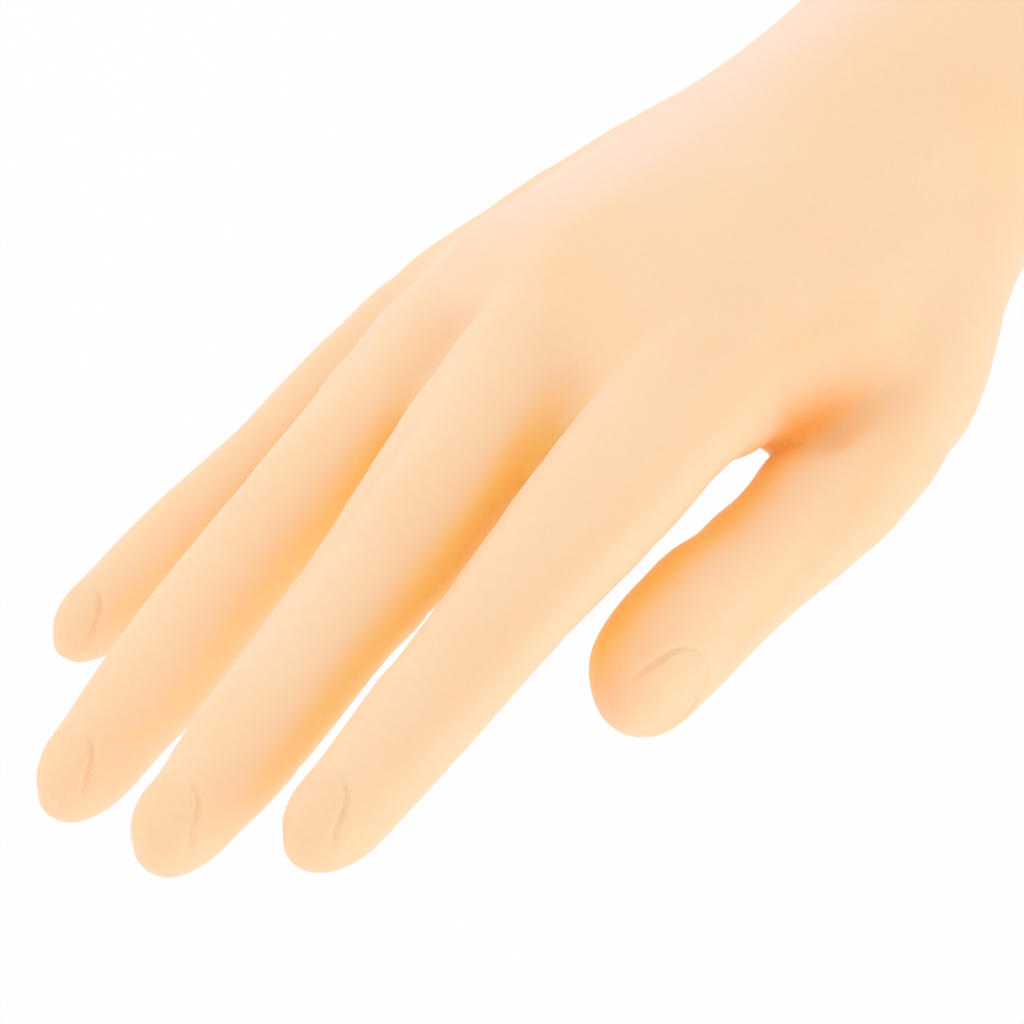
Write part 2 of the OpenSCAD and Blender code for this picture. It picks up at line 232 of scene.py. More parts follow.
class Shader:
    """A material whose nodes are made one call at a time."""

    def __init__(self, name):
        self.material = bpy.data.materials.new(name)
        self.material.use_nodes = True
        self.tree = self.material.node_tree
        self.surface = self.tree.nodes["Principled BSDF"]
        self.place = self.node("ShaderNodeTexCoord", out="Object")

    def node(self, kind, settings=None, inputs=None, out=0):
        made = self.tree.nodes.new(kind)
        for name, value in (settings or {}).items():
            setattr(made, name, value)
        self.feed(made, inputs or {})
        return Value(self, made.outputs[out])

    def feed(self, made, inputs):
        for name, value in inputs.items():
            if isinstance(value, Value):
                self.tree.links.new(value.socket, made.inputs[name])
            else:
                made.inputs[name].default_value = value

    def set(self, **values):
        self.feed(self.surface, {name.replace("_", " "): value for name, value in values.items()})

    def noise(self, scale, detail=3.0, roughness=0.5):
        return self.node("ShaderNodeTexNoise", {}, {
            "Vector": self.place, "Scale": scale, "Detail": detail, "Roughness": roughness})

    def attribute(self, name):
        return self.node("ShaderNodeAttribute", {"attribute_name": name}, out="Fac")

    def spread(self, value, low, high):
        return self.node("ShaderNodeMapRange", {"interpolation_type": "SMOOTHSTEP"}, {
            "Value": value, "From Min": low, "From Max": high})

    def mix(self, factor, first, second, blend="MIX"):
        return self.node("ShaderNodeMix", {"data_type": "RGBA", "blend_type": blend},
                         {0: factor, 6: first, 7: second}, out=2)

    def bump(self, height, strength, distance):
        return self.node("ShaderNodeBump", {}, {
            "Height": height, "Strength": strength, "Distance": distance}, out="Normal")


def opaque(colour):
    return (*colour, 1.0)


# How much of its outlook a place has lost where the painted shade of the folds begins, and where it is
# full.
FOLD_SHADE_BEGINS, FOLD_SHADE_FULL = 0.2, 0.8
# How strongly the painted shade of the folds and the tone of the nails cover the skin's own.
FOLD_SHADE_COVER, NAIL_COVER = 0.88, 0.6
# The tone's shade in the pits of the grain, and how much lighter its tops are.
PIT_SHADE, GRAIN_LIFT = 0.975, 0.04


def skin_finish(settings):
    """Soft moulded skin: two close tones that drift into each other, painted shade in the folds, a painted
    glow and painted shade lines about the thumb, a painted highlight along the hand's outer edge, a fine
    grain and a satin surface."""
    s = Shader("moulded_skin")
    drift = s.spread(s.noise(scale=22.0, detail=2.0), low=0.35, high=0.65)
    grain = s.noise(scale=950.0)
    nail = s.attribute("nail")
    fold = s.spread(s.attribute("fold"), FOLD_SHADE_BEGINS, FOLD_SHADE_FULL)
    tone = s.mix(drift, opaque(settings.skin_warm), opaque(settings.skin_pink))
    # Painted highlight: the paler rim of light along the hand's outer edge.
    tone = s.mix(s.attribute("pale"), tone, opaque(settings.rim_highlight_tone))
    # Painted shade: the more of its outlook the hand shuts off, the deeper orange a place is painted.
    tone = s.mix(fold * FOLD_SHADE_COVER, tone, opaque(settings.fold_shade_tone))
    # Painted light and shade: the glow in the thumb's web and the shade lines along the index finger and
    # the thumb.
    tone = s.mix(s.attribute("glow"), tone, opaque(settings.glow_and_shade_tone))
    tone = s.mix(nail * NAIL_COVER, tone, opaque(settings.nail_tone))
    shade = PIT_SHADE + grain * GRAIN_LIFT
    grey = s.node("ShaderNodeCombineColor", {}, {0: shade, 1: shade, 2: shade})
    tone = s.mix(1.0, tone, grey, "MULTIPLY")
    s.set(Base_Color=tone, Roughness=0.5 + grain * 0.1 - nail * 0.08, IOR=1.45,
          Normal=s.bump(grain, strength=0.06, distance=0.1 * MM))
    s.set(Subsurface_Weight=0.35, Subsurface_Radius=(1.0, 0.42, 0.2), Subsurface_Scale=2.2 * MM,
          Sheen_Weight=0.25, Sheen_Roughness=0.5, Sheen_Tint=(1.0, 0.94, 0.9, 1.0))
    return s.material


def cap_finish(settings):
    """Plain moulded plastic with a faint spark-eroded texture."""
    s = Shader("moulded_cap")
    texture = s.noise(scale=1400.0, detail=2.0)
    drift = s.noise(scale=40.0, detail=2.0)
    dark = tuple(0.9 * c for c in settings.cap)
    s.set(Base_Color=s.mix(drift, opaque(settings.cap), opaque(dark)), Roughness=0.48 + texture * 0.14,
          Normal=s.bump(texture, strength=0.12, distance=0.08 * MM))
    return s.material


def foam_finish(settings):
    """Closed-cell foam: small round cells and dusty high spots."""
    s = Shader("foam_pad")
    cells = s.node("ShaderNodeTexVoronoi", {}, {"Vector": s.place, "Scale": 1800.0}, out="Distance")
    dust = s.spread(s.noise(scale=260.0, detail=4.0), low=0.5, high=0.75)
    pale = tuple(2.6 * c for c in settings.pad)
    s.set(Base_Color=s.mix(dust * 0.6, opaque(settings.pad), opaque(pale)), Roughness=0.82 + dust * 0.1,
          Normal=s.bump(cells, strength=0.35, distance=0.15 * MM))
    return s.material


def iron_finish(settings):
    """Sand-cast iron, dark and granular with worn high spots."""
    s = Shader("cast_weight")
    sand = s.noise(scale=700.0, detail=5.0, roughness=0.65)
    patches = s.spread(s.noise(scale=60.0), low=0.4, high=0.7)
    pale = tuple(2.2 * c for c in settings.iron)
    s.set(Base_Color=s.mix(patches, opaque(settings.iron), opaque(pale)), Metallic=0.55 + patches * 0.2,
          Roughness=0.62 + sand * 0.2, Normal=s.bump(sand, strength=0.5, distance=0.2 * MM))
    return s.material


def steel_finish(settings):
    """Zinc-plated steel with faint turning marks and a patchy sheen."""
    s = Shader("plated_screws")
    turning = s.node("ShaderNodeTexWave", {"wave_type": "BANDS", "bands_direction": "Z"}, {
        "Vector": s.place, "Scale": 900.0, "Distortion": 0.6})
    patches = s.noise(scale=220.0)
    dark = tuple(0.75 * c for c in settings.steel)
    s.set(Base_Color=s.mix(patches, opaque(settings.steel), opaque(dark)), Metallic=1.0,
          Roughness=0.26 + patches * 0.16, Normal=s.bump(turning, strength=0.08, distance=0.05 * MM))
    return s.material


# Skin mesh

# Places closer than this count as one.
HAIR = 0.001 * MM
# The shares of the pull towards their neighbours that hollow places and round places follow.
FILL, HOLD = 0.5, 0.04
# The two halves of a smoothing pass, which together keep the size.
SHRINK, SWELL = 0.5, -0.53
# How far the skin runs on below its rim until it is cut level there.
SKIRT = 6 * MM


def place_of(points):
    """Places given in millimetres from the wrist's centre, in metres in the stand's frame."""
    return np.array(points, float) * MM + np.array(WRIST)


class Surface:
    """A mesh's vertices as arrays, with what smoothing and shaping need."""

    def __init__(self, mesh):
        self.mesh = mesh
        count = len(mesh.vertices)
        self.co = np.empty(count * 3, np.float32)
        mesh.vertices.foreach_get("co", self.co)
        self.co = self.co.reshape(-1, 3).astype(float)
        edges = np.empty(len(mesh.edges) * 2, np.int32)
        mesh.edges.foreach_get("vertices", edges)
        self.ends = edges.reshape(-1, 2)
        self.neighbours = np.maximum(np.bincount(edges, minlength=count), 1)[:, None]

    def normals(self):
        """The directions out of the surface as it is now."""
        self.write()
        found = np.empty(len(self.co) * 3, np.float32)
        self.mesh.vertex_normals.foreach_get("vector", found)
        return found.reshape(-1, 3).astype(float)

    def write(self):
        self.mesh.vertices.foreach_set("co", self.co.astype(np.float32).ravel())
        self.mesh.update()

    def pull(self):
        """From each vertex to the middle of its neighbours."""
        a, b = self.ends.T
        total = np.stack([
            np.bincount(a, self.co[b, axis], len(self.co)) + np.bincount(b, self.co[a, axis], len(self.co))
            for axis in range(3)], 1)
        return total / self.neighbours - self.co

    def spread(self, values, passes):
        """Evens out a value over the surface."""
        a, b = self.ends.T
        for _ in range(passes):
            total = np.bincount(a, values[b], len(values)) + np.bincount(b, values[a], len(values))
            values = 0.5 * values + 0.5 * total / self.neighbours[:, 0]
        return values

    def fill_folds(self, passes, share):
        """Fills hollow creases and leaves round places nearly as they are, by a share at each vertex."""
        for _ in range(passes):
            pull = self.pull()
            rise = np.einsum("ij,ij->i", pull, self.normals())
            self.co += np.where(rise > 0, FILL * share, HOLD * share)[:, None] * pull

    def even(self, passes, share=1.0):
        """Smooths without shrinking."""
        share = np.broadcast_to(np.asarray(share, float), len(self.co))[:, None]
        for _ in range(passes):
            self.co += SHRINK * share * self.pull()
            self.co += SWELL * share * self.pull()


def bump_at(distance, width):
    """A soft rise, 1 in its middle, that fades out over a width."""
    return np.exp(-(distance / width) ** 2)


def step(values, low, high):
    """A smooth change from 0 to 1 between two values."""
    t = np.clip((values - low) / (high - low), 0, 1)
    return t * t * (3 - 2 * t)


def stroke(co, points):
    """Distance from each place to a line through points, and how far along the line its nearest place
    is, 0 to 1."""
    points = np.asarray(points, float)
    legs = np.diff(points, axis=0)
    lengths = np.linalg.norm(legs, axis=1)
    starts = np.concatenate([[0], np.cumsum(lengths)])
    best, along = np.full(len(co), np.inf), np.zeros(len(co))
    for start, leg, length, before in zip(points, legs, lengths, starts):
        t = np.clip((co - start) @ leg / length ** 2, 0, 1)
        away = np.linalg.norm(co - start - t[:, None] * leg, axis=1)
        near = away < best
        best = np.where(near, away, best)
        along = np.where(near, (before + t * length) / starts[-1], along)
    return best, along


class Clay(NamedTuple):
    """Clay laid on the skin, or drawn off it, along a line: places from the wrist's centre with a height
    at each place, and the line's half width, in millimetres. It moves the skin along its normals, or one
    way."""

    places: tuple
    width: float
    way: tuple = None


OUT_OF_BACK = (0.0, -1.0, 0.0)

CLAY = (
    # The edge of the hand on the little finger's side.
    Clay(((21, -13.5, 50.5, -1.0), (24, -11.5, 58.5, -1.6), (27, -9, 65.5, -1.2)), 8),
    Clay(((36, 0, 71, 1.1), (36, 1, 74, 0.8)), 5),
    # The ball of the thumb, and the wrist below it.
    Clay(((-37.5, 16, 38, 0.8), (-38.5, 18.5, 44, 0.8), (-39.5, 20, 49, 0)), 8),
    Clay(((-31, 10.5, 16, -0.8), (-31.5, 11.5, 19, -0.8)), 8),
    # The thumb: its waist, its pulp, its tip and the flat of its nail.
    Clay(((-26.5, 16, 82, -0.9), (-26.5, 16.5, 86, -0.8)), 6),
    Clay(((-26.5, 18.5, 95, 1.0), (-27, 20.5, 105, 1.4), (-26.5, 22, 110.5, 0.9)), 6),
    Clay(((-33, 32.5, 114, 0.7), (-32, 31, 115, 0.7)), 4),
    Clay(((-36, 32.5, 112, -1.0), (-37.5, 30.5, 107, -1.2)), 4.5),
    # The thumb's web, the pocket above it, the crease that runs from there towards the wrist, and the
    # index finger's edge over them.
    Clay(((-26, 13.5, 70, 1.1), (-26.5, 15, 71, 1.3)), 4.5),
    Clay(((-29.5, 9.5, 68.5, -0.6), (-31.5, 10, 66, -2.8), (-33.5, 9.5, 60, -1.8),
          (-37, 9.5, 50.5, -0.2)), 4, OUT_OF_BACK),
    Clay(((-31, 9, 67, -0.5), (-34, 9.5, 58, -0.7), (-37, 9.5, 50.5, -0.1)), 1.6),
    Clay(((-27.5, 9, 69.5, 0.6), (-28.5, 8, 67.5, 1.2), (-30, 7.5, 63.5, 0.8), (-32, 7.5, 57, 0.2)), 2.2),
    Clay(((-31.5, 5, 87, 0.2), (-30, 6.5, 81, 0.9), (-28.5, 8.5, 76.5, 0.9)), 3.5),
    # The cleft between the index and the middle finger.
    Clay(((-10.5, -3.5, 87.5, -0.2), (-11, -1, 92, -0.8), (-12, 1, 97, -3.2), (-13, 2, 102, -3.2),
          (-13.5, 3.5, 109, -1.2)), 2.4, OUT_OF_BACK),
    # The sides of the fingers towards the little finger.
    Clay(((5.5, -8.5, 91, -0.3), (5, -7, 97, -1.3), (3, -4, 110, -2.4), (1, 3.5, 132, -2.0),
          (-1, 9.5, 150, -0.8)), 5),
    Clay(((25.5, -6, 84, -0.7), (25, -4, 93.5, -2.0), (24.5, -1.5, 101, -1.8), (23.5, 3, 115, -0.3)), 5.5),
    Clay(((-17.5, 4, 116, -0.4), (-18, 6, 128, -0.6), (-19, 9, 141, -0.4)), 4),
    Clay(((-15.5, 9.5, 129, -0.3), (-16.5, 12.5, 141, -0.8), (-18, 16, 155, -0.8),
          (-18.5, 19, 166, -0.6)), 4),
    # The ring finger's side towards the middle finger, and the middle finger's side that the index finger
    # hides.
    Clay(((11.5, 18, 141, 0.6), (12, 20, 145, 0.9), (12, 22, 150, 0.9), (12.5, 24, 155, 0.3)), 5),
    Clay(((-8.5, 10.5, 105, 1.0), (-9, 12, 112, 1.2), (-10, 13.5, 121, 0.9), (-10, 14.5, 127, 0.6)), 5),
    # The middle fingertip.
    Clay(((-12, 25.5, 172.5, -0.8), (-11.5, 24.5, 169, -0.8)), 6),
    Clay(((-5, 20.5, 176, 0.45), (-4, 19.5, 174, 0.45)), 4),
)


def clay_lift(co, clay):
    """How far a line of clay moves each place out of the skin."""
    places = np.array(clay.places, float)
    points, heights = place_of(places[:, :3]), places[:, 3] * MM
    away, along = stroke(co, points)
    legs = np.linalg.norm(np.diff(points, axis=0), axis=1)
    stops = np.concatenate([[0], np.cumsum(legs)]) / legs.sum()
    return np.interp(along, stops, heights) * bump_at(away, MM * clay.width)


def lay_clay(surface):
    """Moves the skin by all the clay at once."""
    normals = surface.normals()
    before = surface.co.copy()
    for clay in CLAY:
        way = normals if clay.way is None else np.array(clay.way)
        surface.co += clay_lift(before, clay)[:, None] * way


def split_shell(node):
    """The outside and the hollow of the moulded shell, as two open meshes that end at its lower rim."""
    shell = bmesh.new()
    shell.from_mesh(node.data)
    bmesh.ops.remove_doubles(shell, verts=shell.verts, dist=HAIR)
    low = min(v.co.z for v in shell.verts)
    rim = [f for f in shell.faces if all(v.co.z < low + HAIR for v in f.verts)]
    bmesh.ops.delete(shell, geom=rim, context="FACES")
    top = max(shell.verts, key=lambda v: v.co.z)
    outside, open_ends = {top}, [top]
    while open_ends:
        for edge in open_ends.pop().link_edges:
            for vert in edge.verts:
                if vert not in outside:
                    outside.add(vert)
                    open_ends.append(vert)
    for vert in shell.verts:
        vert.tag = vert in outside
    hollow = shell.copy()
    for part, kept in ((shell, True), (hollow, False)):
        bmesh.ops.delete(part, geom=[v for v in part.verts if v.tag != kept], context="VERTS")
    return shell, hollow, low


def even_mesh(shape, voxel):
    """A closed shape as an even mesh of small squares."""
    rough = bpy.data.meshes.new("rough_skin")
    shape.to_mesh(rough)
    shape.free()
    carrier = bpy.data.objects.new("rough_skin", rough)
    bpy.context.scene.collection.objects.link(carrier)
    remesh = carrier.modifiers.new("even", "REMESH")
    remesh.mode = "VOXEL"
    remesh.voxel_size = voxel
    graph = bpy.context.evaluated_depsgraph_get()
    mesh = bpy.data.meshes.new_from_object(carrier.evaluated_get(graph))
    bpy.data.objects.remove(carrier)
    bpy.data.meshes.remove(rough)
    return mesh


class Nail(NamedTuple):
    """A nail's place, directions and half sizes."""

    middle: Vector
    across: Vector
    along: Vector
    out: Vector
    half_width: float
    half_length: float


# A nail's share of its fingertip's width, its length for its width, and its distance from the tip.
NAIL_SHARE, NAIL_LONG, NAIL_BACK = 0.58, 1.15, 1.0 * MM
# How far the fine mesh reaches around a nail and below it, and above it in half widths.
NAIL_MARGIN, NAIL_BELOW, NAIL_ABOVE = 2.8 * MM, 0.5 * MM, 4
# How square a nail is at its root and at its tip.
ROOT_SQUARE, TIP_SQUARE = 2.4, 3.0
# A nail fades out over a height at the digit's sides, and over shares of its half length at its tip.
SIDE_FADE, TIP_FADE = 2 * MM, (0.3, 0.95)
# Where the plate and its tone end, from inside a nail's edge to outside it.
PLATE_END, TONE_END = (-0.3 * MM, 0.15 * MM), (-0.5 * MM, 0.1 * MM)
# How far outside a nail's edge its groove and its soft fold lie, and their half widths.
GROOVE_OUT, GROOVE_WIDTH = 0.25 * MM, 0.32 * MM
NAIL_FOLD_OUT, NAIL_FOLD_WIDTH = 1.1 * MM, 0.7 * MM
# The fold's height, and what the groove loses at the root, as shares of the groove's depth.
NAIL_FOLD_SHARE, ROOT_LOSS = 0.5, 0.55


def nail_of(digit):
    """The nail on the last bone of a digit."""
    across, along, out = axes_of(digit, -1)
    tip = joints_of(digit)[-1]
    half_width = MM * NAIL_SHARE * (digit.widths[-2] + digit.widths[-1]) / 4
    half_length = NAIL_LONG * half_width
    return Nail(tip - (half_length + NAIL_BACK) * along, across, along, out, half_width, half_length)


def nail_places(nail, co):
    """Places across, along and above a nail, in metres."""
    local = co - np.array(nail.middle)
    return [local @ np.array(axis) for axis in (nail.across, nail.along, nail.out)]


def near_nail(nail, co):
    """Which places lie close to a nail."""
    u, v, w = nail_places(nail, co)
    return ((np.abs(u) < nail.half_width + NAIL_MARGIN) & (np.abs(v) < nail.half_length + NAIL_MARGIN)
            & (w > -NAIL_BELOW) & (w < NAIL_ABOVE * nail.half_width))


def near_nails(co):
    """Which places lie close to any nail."""
    close = np.zeros(len(co), bool)
    for digit in DIGITS:
        close |= near_nail(nail_of(digit), co)
    return close


def refine(mesh, chosen, cuts):
    """Splits the edges between chosen vertices."""
    shape = bmesh.new()
    shape.from_mesh(mesh)
    edges = [e for e in shape.edges if chosen[e.verts[0].index] and chosen[e.verts[1].index]]
    bmesh.ops.subdivide_edges(shape, edges=edges, cuts=cuts, use_grid_fill=True)
    shape.to_mesh(mesh)
    shape.free()


def shape_nails(surface, settings):
    """Sets a plate, its groove and its soft fold into the back of each fingertip, and gives the plates'
    cover at each vertex."""
    mask = np.zeros(len(surface.co))
    normals = surface.normals()
    for digit in DIGITS:
        nail = nail_of(digit)
        u, v, w = nail_places(nail, surface.co)
        a, b = nail.half_width, nail.half_length
        square = np.where(v < 0, ROOT_SQUARE, TIP_SQUARE)
        ring = ((np.abs(u) / a) ** square + (np.abs(v) / b) ** square) ** (1 / square)
        edge = (ring - 1) * a
        upper = step(w, 0, SIDE_FADE)
        root = 1 - step(v, TIP_FADE[0] * b, TIP_FADE[1] * b)
        plate = 1 - step(edge, *PLATE_END)
        rise = plate * (settings.nail_rise + settings.nail_flat * (u / a) ** 2)
        depth = settings.nail_groove * (1 - ROOT_LOSS * step(-v, 0.5 * b, b))
        groove = -depth * bump_at(edge - GROOVE_OUT, GROOVE_WIDTH)
        fold = NAIL_FOLD_SHARE * depth * bump_at(edge - NAIL_FOLD_OUT, NAIL_FOLD_WIDTH)
        lift = upper * root * (rise + groove + fold)
        surface.co += lift[:, None] * normals
        mask = np.maximum(mask, upper * (1 - step(edge, *TONE_END)))
    return mask


# The palm's lines: places across it and up from the wrist's centre, in millimetres, and a strength.
PALM_LINES = (
    (((-27, 66), (-14, 60), (-5, 47), (-2, 30), (-5, 12)), 1.0),
    (((-27, 65), (-10, 60), (10, 50), (27, 40)), 0.8),
    (((-10, 83), (0, 73), (18, 63), (38, 57)), 0.9),
    (((-20, 2), (0, 4), (20, 1)), 0.5),
)
# The shares of its length where a palm line is full, and where it starts to fade.
PALM_LINE_FULL, PALM_LINE_FADES = 0.12, 0.8
# A finger's lowest line lies at this share of its first bone.
ROOT_LINE = 0.52
# A finger's line: its strength, and in half widths how far it reaches sideways and down, and its fading.
FINGER_LINE, LINE_SPAN, LINE_DOWN, LINE_FADE = 0.8, 1.3, 1.03, (0.4, 0.8)
# The lines' half widths, and how far the fine mesh reaches from them.
PALM_LINE_WIDTH, FINGER_LINE_WIDTH = 0.9 * MM, 0.75 * MM
PALM_LINE_REACH, FINGER_LINE_REACH = 2.4 * MM, 2.2 * MM
# How far the skin faces out of the palm where the palm's lines begin and are full.
PALM_FACING = (0.15, 0.6)
# Skin that faces the palm's way less than this, or a line weaker than this, gets no fine mesh.
PALM_SIDE, FAINT = 0.1, 0.02


def palm_lines(co):
    """The lines of the palm, as distances and strengths."""
    flat = co.copy()
    flat[:, 1] = 0
    lines = []
    for points, strength in PALM_LINES:
        away, along = stroke(flat, place_of([(x, 0, z) for x, z in points]) * (1, 0, 1))
        rising = step(along, 0, PALM_LINE_FULL)
        fading = 1 - step(along, PALM_LINE_FADES, 1)
        lines.append((away, strength * rising * fading))
    return lines


def digit_lines(digit, co):
    """Lines across a digit's inner side at its joints, as distances and strengths."""
    places = joints_of(digit)
    lines = []
    stops = [(0, ROOT_LINE)] + [(bone, 0.0) for bone in range(1, len(digit.bones))]
    for bone, share in stops:
        across, along, out = axes_of(digit, bone)
        local = co - np.array(places[bone] + share * MM * digit.bones[bone] * along)
        u, v, w = [local @ np.array(axis) for axis in (across, along, out)]
        half = MM * digit.widths[bone] / 2
        inside = (np.abs(u) < LINE_SPAN * half) & (w < 0) & (w > -LINE_DOWN * half)
        fade = step(-w, LINE_FADE[0] * half, LINE_FADE[1] * half)
        lines.append((np.abs(v), FINGER_LINE * inside * fade))
    return lines


def shape_palm(surface, settings):
    """Presses the lines into the palm side."""
    normals = surface.normals()
    facing = step(normals[:, 1], *PALM_FACING)
    depth = np.zeros(len(surface.co))
    for away, strength in palm_lines(surface.co):
        depth = np.maximum(depth, facing * strength * bump_at(away, PALM_LINE_WIDTH))
    for digit in FINGERS:
        for away, strength in digit_lines(digit, surface.co):
            depth = np.maximum(depth, strength * bump_at(away, FINGER_LINE_WIDTH))
    surface.co -= settings.crease_depth * depth[:, None] * normals


def near_lines(surface):
    """Which vertices lie close to a line of the palm side."""
    facing = surface.normals()[:, 1] > PALM_SIDE
    close = np.zeros(len(surface.co), bool)
    for away, strength in palm_lines(surface.co):
        close |= facing & (away < PALM_LINE_REACH) & (strength > FAINT)
    for digit in FINGERS:
        for away, strength in digit_lines(digit, surface.co):
            close |= (away < FINGER_LINE_REACH) & (strength > FAINT)
    return close


# How far the skin faces out of the hand's back where the relief begins and is full.
BACK_FACING = (0.1, 0.6)
KNUCKLE_RISE, KNUCKLE_REACH = 0.7 * MM, 7 * MM
CORD_RISE, CORD_WIDTH = 0.5 * MM, 2.6 * MM
# Where a cord ends, as shares of its knuckle's place from the wrist's centre.
CORD_END = (0.35, 0, 0.3)
HOLLOW_SINK, HOLLOW_WIDTH = 0.5 * MM, 4.5 * MM
# How far the hollow between two knuckles runs towards the fingers and towards the wrist.
HOLLOW_UP, HOLLOW_DOWN = 6 * MM, 12 * MM


def shape_back(surface):
    """Soft knuckles, the hollows between them and the faint cords that run back towards the wrist."""
    normals = surface.normals()
    back = step(-normals[:, 1], *BACK_FACING)
    flat = surface.co * (1, 0, 1)
    lift = np.zeros(len(surface.co))
    knuckles = [np.array(joints_of(digit)[0]) * (1, 0, 1) for digit in FINGERS]
    for knuckle in knuckles:
        lift += KNUCKLE_RISE * bump_at(np.linalg.norm(flat - knuckle, axis=1), KNUCKLE_REACH)
        cord = np.array([knuckle, np.array(WRIST) + (knuckle - np.array(WRIST)) * CORD_END])
        away, along = stroke(flat, cord)
        lift += CORD_RISE * bump_at(away, CORD_WIDTH) * (1 - along)
    for left, right in zip(knuckles, knuckles[1:]):
        middle = (left + right) / 2
        hollow = np.array([middle + (0, 0, HOLLOW_UP), middle - (0, 0, HOLLOW_DOWN)])
        away, along = stroke(flat, hollow)
        lift -= HOLLOW_SINK * bump_at(away, HOLLOW_WIDTH) * (1 - 0.5 * along)
    surface.co += (back * lift)[:, None] * normals


# How many ways each place looks, how far, and how far off the skin it starts.
LOOKS = 24
LOOK_REACH, LOOK_START = 45 * MM, 0.3 * MM
LOOK_PASSES = 5
# A slanted direction, from which the sideways directions of the looks are made.
SLANT = (0.3, 0.2, 0.9)
GOLDEN_TURN = math.pi * (3 - math.sqrt(5))


def shut_in(surface):
    """How much of its outlook each place loses to the rest of the hand, 0 to 1."""
    normals = surface.normals()
    tree = BVHTree.FromPolygons(surface.co.tolist(), [tuple(p.vertices) for p in surface.mesh.polygons])
    share = (np.arange(LOOKS) + 0.5) / LOOKS
    turn = GOLDEN_TURN * np.arange(LOOKS)
    tilts = np.stack([np.sqrt(share) * np.cos(turn), np.sqrt(share) * np.sin(turn), np.sqrt(1 - share)], 1)
    side = np.cross(normals, SLANT)
    side /= np.linalg.norm(side, axis=1)[:, None]
    axes = np.stack([side, np.cross(normals, side), normals], 1)
    starts = (surface.co + LOOK_START * normals).tolist()
    looks = np.einsum("lk,vkx->vlx", tilts, axes).tolist()
    lost = [sum(tree.ray_cast(start, look, LOOK_REACH)[0] is not None for look in around)
            for start, around in zip(starts, looks)]
    return surface.spread(np.array(lost) / LOOKS, LOOK_PASSES)


# Painted light and shade: a glow of bounced light painted into the thumb's web and along the thumb's inner
# side, and faint painted shade lines along the index finger and the thumb where the two lamps' light falls
# off: laid on like clay, with depths of tone for heights.
PAINTED_GLOW_AND_SHADE = (
    Clay(((-27, 11.5, 70.5, 0.4), (-29.5, 10.5, 69, 0.95), (-32, 10, 65, 0.8), (-35, 9.5, 56, 0.2)), 4),
    Clay(((-27.5, 15, 75, 0.3), (-28, 17, 87, 0.22), (-28.5, 18, 97, 0.12), (-29, 19, 105, 0.1),
          (-30, 22, 112, 0.16), (-29.5, 25, 115, 0.2)), 5.5),
    Clay(((-31, 0, 51, 0.05), (-28.5, -0.5, 65, 0.1), (-30.5, -1, 81, 0.1), (-31.5, 3.5, 106, 0.1),
          (-30.5, 8, 126, 0.1), (-30.5, 15, 156, 0.05)), 2),
    Clay(((-37, 10, 49, 0.05), (-39, 13.5, 59, 0.1), (-39.5, 19, 72, 0.1), (-37.5, 25, 86, 0.1),
          (-37, 28, 96, 0.07)), 2),
)

# Painted highlight: the rim of light along the back of the hand, on the little finger's side, painted in
# as a paler tone.
PAINTED_RIM_LIGHT = (
    Clay(((23, -9, 78, 0.5), (16, -14, 70, 0.9), (10, -16.5, 58, 1.0), (9, -17.5, 46, 1.0),
          (8, -18.5, 32, 1.0), (10, -19, 14, 1.0), (9, -19.5, 0, 1.0), (8, -20.5, -30, 0)), 10),
)


def painted(co, tones):
    """How deep a tone is at each place, 0 to 1."""
    return np.minimum(sum(clay_lift(co, tone) for tone in tones) / MM, 1.0)


def mark(mesh, name, values):
    """Keeps a value at each vertex for the material."""
    marks = mesh.attributes.new(name, "FLOAT", "POINT")
    marks.data.foreach_set("value", values.astype(np.float32))


# Where the skin runs on without a fold: a place from the wrist's centre and a reach, in millimetres.
FLOWING = (((-24, 0, 24), 20), ((-29, 1, 68), 13), ((-25, 11, 5), 18))
FLOWING_PASSES = 60
# How much of the smoothing shut-in places are spared, and the lost outlook where that begins and is full.
FOLD_KEEP, SHUT_RANGE = 0.75, (0.3, 0.6)
CLAY_PASSES = 8
# How many times the mesh's edges are cut along lines and around nails, and how that finer mesh is evened.
LINE_CUTS, NAIL_CUTS = 1, 4
FINE_PASSES, FINE_SPREAD = 30, 4


def outside_mesh(shell, voxel):
    """The shell's outside as an even mesh that runs on below its rim."""
    rim = [e for e in shell.edges if e.is_boundary]
    skirt = bmesh.ops.extrude_edge_only(shell, edges=rim)["geom"]
    bmesh.ops.translate(shell, verts=[g for g in skirt if isinstance(g, bmesh.types.BMVert)],
                        vec=(0, 0, -SKIRT))
    bmesh.ops.holes_fill(shell, edges=[e for e in shell.edges if e.is_boundary])
    return even_mesh(shell, voxel)


def soften(surface, settings):
    """Fills the folds and evens out the skin, least where it is shut in."""
    open_share = 1 - FOLD_KEEP * step(shut_in(surface), *SHUT_RANGE)
    surface.fill_folds(settings.fold_passes, open_share)
    for place, reach in FLOWING:
        away = np.linalg.norm(surface.co - place_of(place), axis=1)
        surface.fill_folds(FLOWING_PASSES, 1 - step(away, 0.5 * MM * reach, MM * reach))
    surface.even(settings.smooth_passes, open_share)


def close_rim(outside, hollow, low):
    """Cuts the skin level at its lower rim and joins it to the hollow."""
    shape = bmesh.new()
    shape.from_mesh(outside)
    everything = shape.verts[:] + shape.edges[:] + shape.faces[:]
    bmesh.ops.bisect_plane(shape, geom=everything, plane_co=(0, 0, low), plane_no=(0, 0, -1),
                           clear_outer=True, dist=HAIR)
    inner = bpy.data.meshes.new("hollow")
    hollow.to_mesh(inner)
    hollow.free()
    shape.from_mesh(inner)
    bpy.data.meshes.remove(inner)
    loops = [e for e in shape.edges if e.is_boundary]
    bmesh.ops.bridge_loops(shape, edges=loops)
    shape.to_mesh(outside)
    shape.free()


